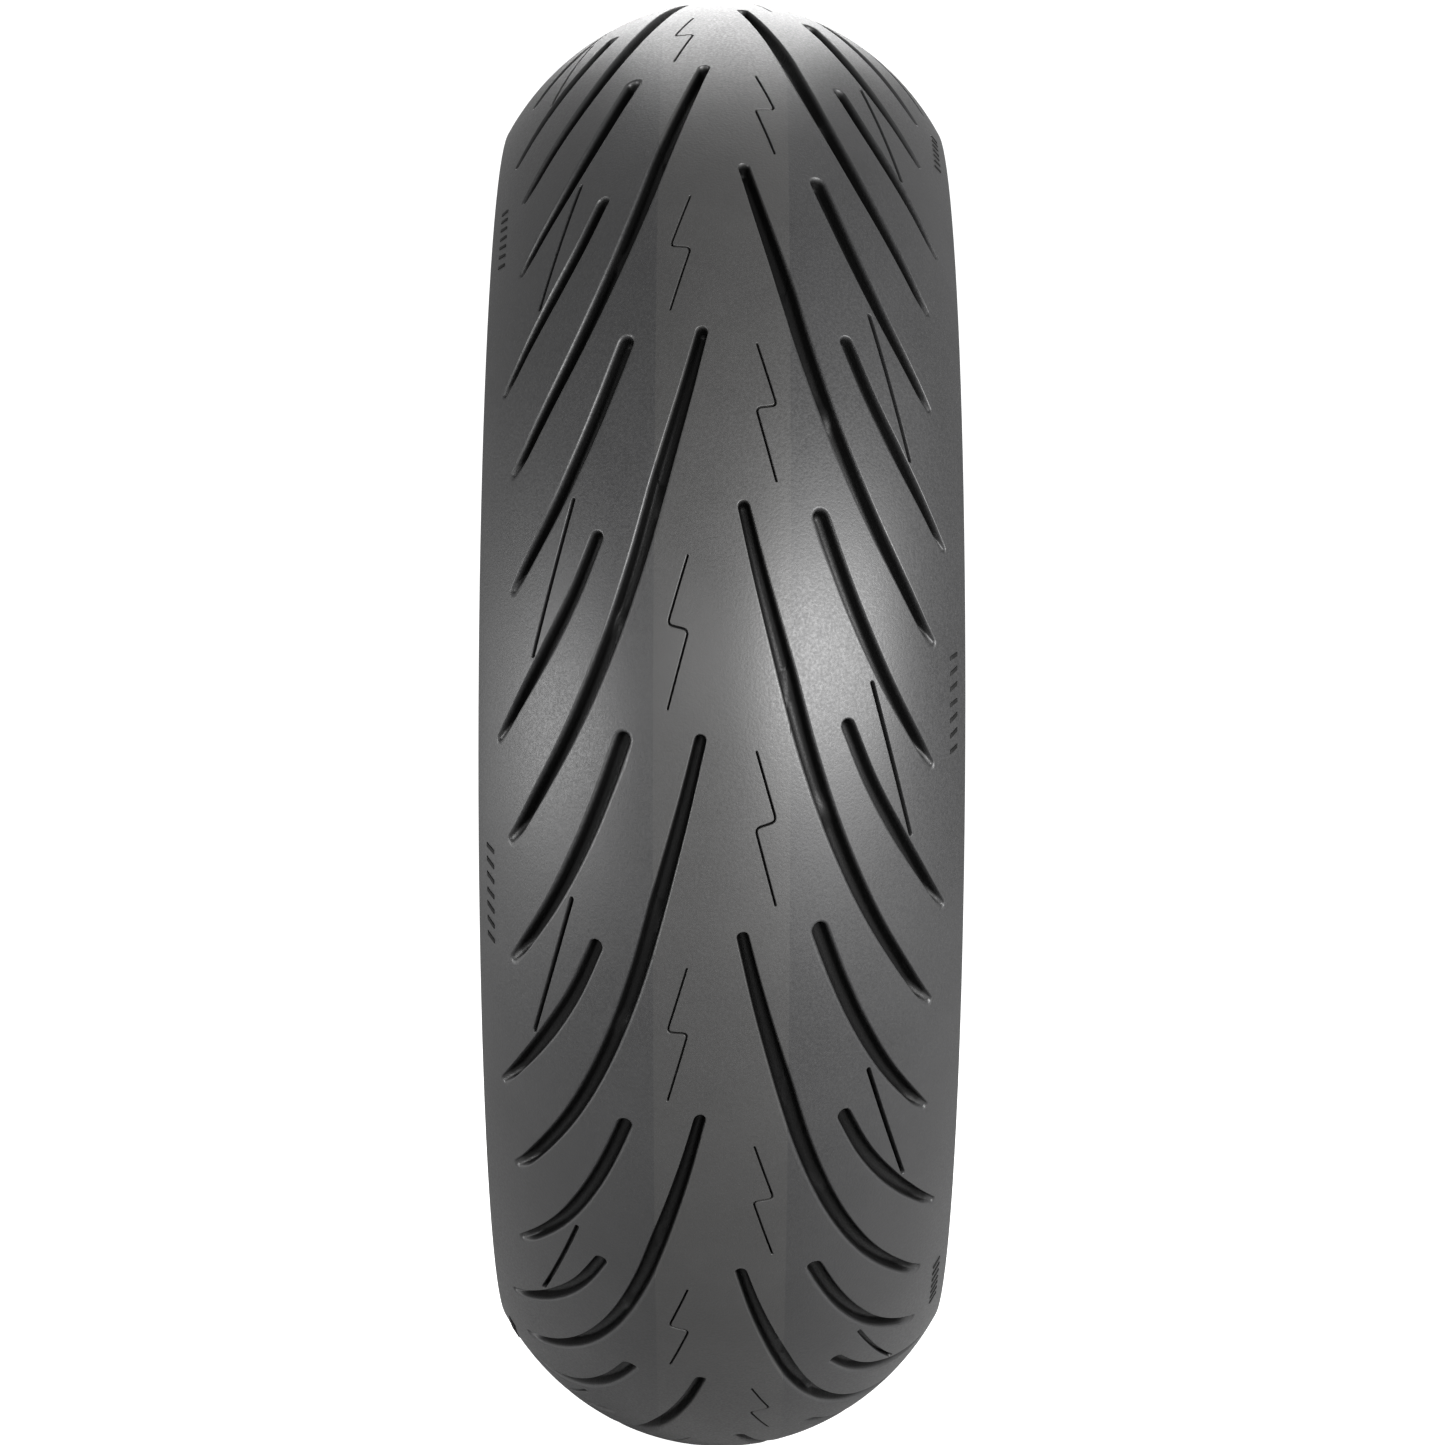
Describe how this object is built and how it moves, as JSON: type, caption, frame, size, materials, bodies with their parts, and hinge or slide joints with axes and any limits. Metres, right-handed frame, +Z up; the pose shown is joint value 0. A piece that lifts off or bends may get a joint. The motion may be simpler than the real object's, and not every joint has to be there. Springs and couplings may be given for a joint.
{
  "type": "motorcycle tire",
  "caption": "Rear road tire for a motorcycle, with a rounded dual-compound tread, curved directional grooves, sidewalls and wire beads.",
  "frame": {"origin": "the wheel's centre, on the axle line midway between the beads", "axes": "+Z up, +Y along the axle line to the tire's right side, +X towards the stretch of tread that the front view shows"},
  "size_m": [0.6408, 0.1878, 0.6408],
  "materials": {
    "tread_centre_rubber": "satin",
    "tread_shoulder_rubber": "satin",
    "sidewall_rubber": "satin",
    "bead_rubber": "satin",
    "chafer_fabric": "matte woven",
    "liner_rubber": "semi-gloss",
    "inner_rubber": "matte",
    "ply_cord": "corded, rubber coated",
    "belt_cord": "brass plated cords in rubber",
    "bead_wire": "brass plated wire"
  },
  "bodies": {
    "root": {"tread_centre": "tread_centre_rubber", "tread_shoulder_left": "tread_shoulder_rubber", "tread_shoulder_right": "tread_shoulder_rubber", "sidewall_left": "sidewall_rubber", "sidewall_right": "sidewall_rubber", "rim_strip_left": "bead_rubber", "rim_strip_right": "bead_rubber", "toe_chafer_left": "chafer_fabric", "toe_chafer_right": "chafer_fabric", "inner_liner": "liner_rubber", "tread_base": "inner_rubber", "steel_belt": "belt_cord", "belt_edge_strip_left": "inner_rubber", "belt_edge_strip_right": "inner_rubber", "carcass_ply_outer": "ply_cord", "carcass_ply_inner": "ply_cord", "bead_core_left": "bead_wire", "bead_core_right": "bead_wire", "bead_filler_left": "inner_rubber", "bead_filler_right": "inner_rubber"}
  },
  "joints": []
}
